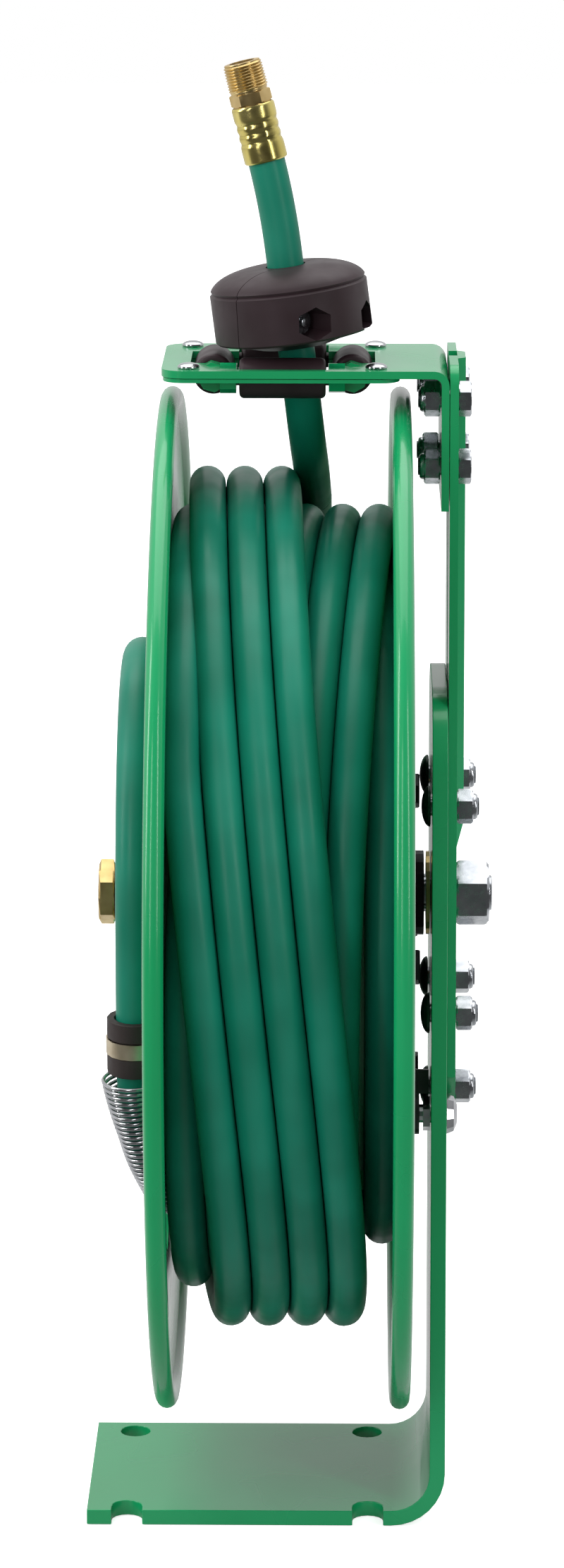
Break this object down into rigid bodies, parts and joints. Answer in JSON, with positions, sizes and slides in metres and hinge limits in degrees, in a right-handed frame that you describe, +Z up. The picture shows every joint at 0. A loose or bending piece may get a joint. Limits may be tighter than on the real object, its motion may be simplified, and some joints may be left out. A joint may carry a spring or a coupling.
{
  "type": "retractable hose reel",
  "caption": "Spring-rewind garden hose reel on an L-shaped plate stand, with a guide arm, roller guide head and ball stop.",
  "frame": {"origin": "centre of the flat underside of the base plate", "axes": "+X along the axle towards the upright and the axle nut, -Y towards the front, +Z up"},
  "size_m": [0.1673, 0.421, 0.6047],
  "materials": {
    "powder_green": "gloss powder coat",
    "hose_green": "satin",
    "black_plastic": "matte",
    "black_rubber": "matte",
    "zinc_steel": "zinc plated",
    "zinc_yellow": "yellow zinc",
    "black_steel": "black zinc",
    "bright_steel": "bright",
    "brass": "satin"
  },
  "bodies": {
    "frame": {"pedestal": "powder_green", "guide_arm": "powder_green", "roller_bracket": "powder_green", "keeper_plate": "powder_green", "bracket_rivet_1": "bright_steel", "bracket_rivet_2": "bright_steel", "bracket_rivet_3": "bright_steel", "bracket_rivet_4": "bright_steel", "head_bolt_1": "zinc_steel", "head_bolt_2": "zinc_steel", "head_bolt_3": "zinc_steel", "head_bolt_4": "zinc_steel", "arm_bolt_1": "zinc_steel", "arm_bolt_2": "zinc_steel", "arm_bolt_3": "zinc_steel", "arm_bolt_4": "zinc_steel", "arm_toe_bolt": "zinc_steel", "axle": "zinc_steel", "axle_nut": "zinc_steel", "thrust_washer": "brass", "spring_arbor": "black_steel", "pawl_bolt": "bright_steel", "hose_run": "hose_green", "stop_half_front": "black_plastic", "stop_half_back": "black_plastic", "stop_screw_1": "zinc_steel", "stop_screw_2": "zinc_steel", "crimp_ferrule": "zinc_yellow", "end_fitting": "brass"},
    "spool": {"left_disc": "powder_green", "right_disc": "powder_green", "drum": "powder_green", "hose_core": "hose_green", "hose_winding": "hose_green", "left_hub": "black_plastic", "right_hub": "black_plastic", "ratchet_plate": "black_steel", "hub_bolt_1": "black_steel", "hub_bolt_2": "black_steel", "hub_bolt_3": "black_steel", "spring_case": "black_steel", "power_spring": "bright_steel", "feed_hose": "hose_green", "clamp_cushion": "black_rubber", "clamp_strap": "zinc_yellow", "clamp_screw": "zinc_steel", "bend_coil": "bright_steel", "swivel_elbow": "brass"},
    "inlet": {"swivel_inlet": "brass"},
    "pawl": {"pawl": "black_steel"},
    "left_guide_roller": {"left_roller": "black_plastic"},
    "right_guide_roller": {"right_roller": "black_plastic"},
    "front_guide_roller": {"front_roller": "black_plastic"},
    "rear_guide_roller": {"rear_roller": "black_plastic"}
  },
  "joints": [
    {"name": "spool_spin", "type": "hinge", "parent": "frame", "child": "spool", "pos_m": [0.0075, 0, 0.256], "axis": [1, 0, 0], "range_deg": [0, 4500], "stiffness_Nm_per_rad": 0.03, "springref_deg": -5729.58, "deforming": ["hose_run"]},
    {"name": "inlet_swivel", "type": "hinge", "parent": "spool", "child": "inlet", "pos_m": [-0.068, 0, 0.256], "axis": [1, 0, 0], "range_deg": [-4500, 0]},
    {"name": "pawl_swing", "type": "hinge", "parent": "frame", "child": "pawl", "pos_m": [0.06, -0.036, 0.172], "axis": [1, 0, 0], "range_deg": [0, 14]},
    {"name": "left_roller_spin", "type": "hinge", "parent": "frame", "child": "left_guide_roller", "pos_m": [-0.0216, 0, 0.4762], "axis": [0, 1, 0], "continuous": true},
    {"name": "right_roller_spin", "type": "hinge", "parent": "frame", "child": "right_guide_roller", "pos_m": [0.035, 0, 0.4762], "axis": [0, 1, 0], "continuous": true},
    {"name": "front_roller_spin", "type": "hinge", "parent": "frame", "child": "front_guide_roller", "pos_m": [0.0067, -0.024, 0.4762], "axis": [1, 0, 0], "continuous": true},
    {"name": "rear_roller_spin", "type": "hinge", "parent": "frame", "child": "rear_guide_roller", "pos_m": [0.0067, 0.024, 0.4762], "axis": [1, 0, 0], "continuous": true}
  ],
  "couplings": [
    {"joint": "inlet_swivel", "follows": "spool_spin", "ratio": -1}
  ]
}
